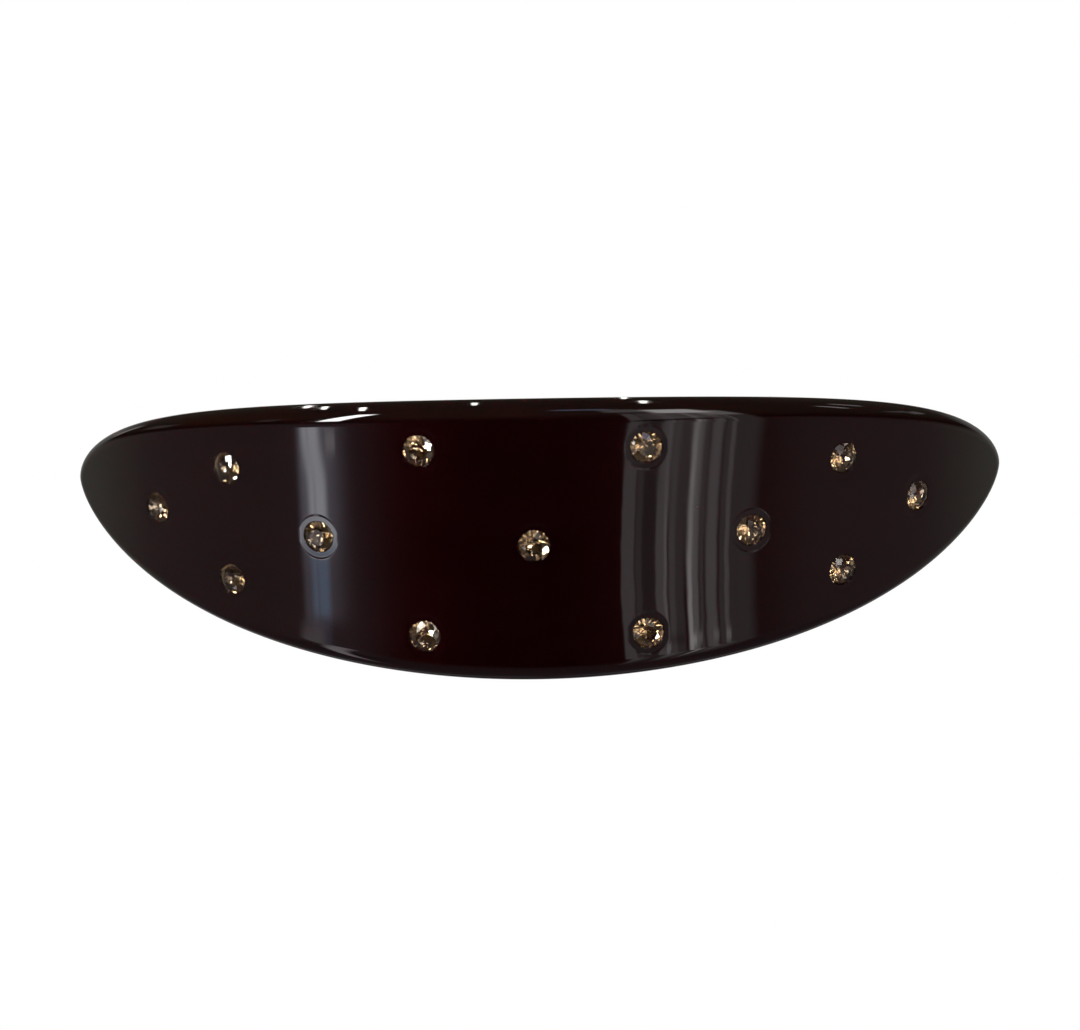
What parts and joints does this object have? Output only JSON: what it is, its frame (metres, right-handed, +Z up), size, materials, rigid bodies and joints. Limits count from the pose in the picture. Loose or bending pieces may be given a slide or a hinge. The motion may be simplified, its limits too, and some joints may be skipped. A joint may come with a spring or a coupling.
{
  "type": "hair barrette",
  "caption": "Oval hair barrette: a bent dark acetate plate set with small round crystals, on a sprung metal clip with a swinging arm and a pinch catch.",
  "frame": {"origin": "middle of the gap that holds the hair, between the tension bar and the arm", "axes": "+X along the barrette towards the catch, +Z up as worn with the barrette level, -Y out through the domed face, +Y towards the head"},
  "size_m": [0.0972, 0.0275, 0.029],
  "materials": {
    "acetate": "high gloss, polished",
    "crystal": "faceted, gold foil behind",
    "nickel_steel": "nickel plated",
    "wing_steel": "nickel plated",
    "spring_steel": "tempered, satin",
    "rivet_nickel": "bright nickel"
  },
  "bodies": {
    "barrette": {"bow_plate": "acetate", "crystal_01": "crystal", "crystal_02": "crystal", "crystal_03": "crystal", "crystal_04": "crystal", "crystal_05": "crystal", "crystal_06": "crystal", "crystal_07": "crystal", "crystal_08": "crystal", "crystal_09": "crystal", "crystal_10": "crystal", "crystal_11": "crystal", "crystal_12": "crystal", "crystal_13": "crystal", "clip_base": "nickel_steel", "plate_stud_left": "rivet_nickel", "plate_stud_right": "rivet_nickel", "hinge_pin": "rivet_nickel", "catch_spring": "spring_steel", "catch_rivet": "rivet_nickel"},
    "arm": {"clip_arm": "nickel_steel"},
    "bar": {"tension_bar": "spring_steel"},
    "upper_wing": {"catch_wing_upper": "wing_steel"},
    "lower_wing": {"catch_wing_lower": "wing_steel"}
  },
  "joints": [
    {"name": "arm_swing", "type": "hinge", "parent": "barrette", "child": "arm", "pos_m": [-0.033, 0.00645, 0], "axis": [0, 0, 1], "range_deg": [0, 80]},
    {"name": "bar_flex", "type": "slide", "parent": "barrette", "child": "bar", "axis": [0, -1, 0], "range_m": [0, 0.002], "stiffness_N_per_m": 1500},
    {"name": "upper_wing_pinch", "type": "hinge", "parent": "barrette", "child": "upper_wing", "pos_m": [0.0315, 0.00415, 0.0017], "axis": [-1, 0, 0], "range_deg": [0, 10], "stiffness_Nm_per_rad": 0.05},
    {"name": "lower_wing_pinch", "type": "hinge", "parent": "barrette", "child": "lower_wing", "pos_m": [0.0315, 0.00415, -0.0017], "axis": [1, 0, 0], "range_deg": [0, 10], "stiffness_Nm_per_rad": 0.05}
  ],
  "couplings": [
    {"joint": "lower_wing_pinch", "follows": "upper_wing_pinch", "ratio": 1}
  ]
}
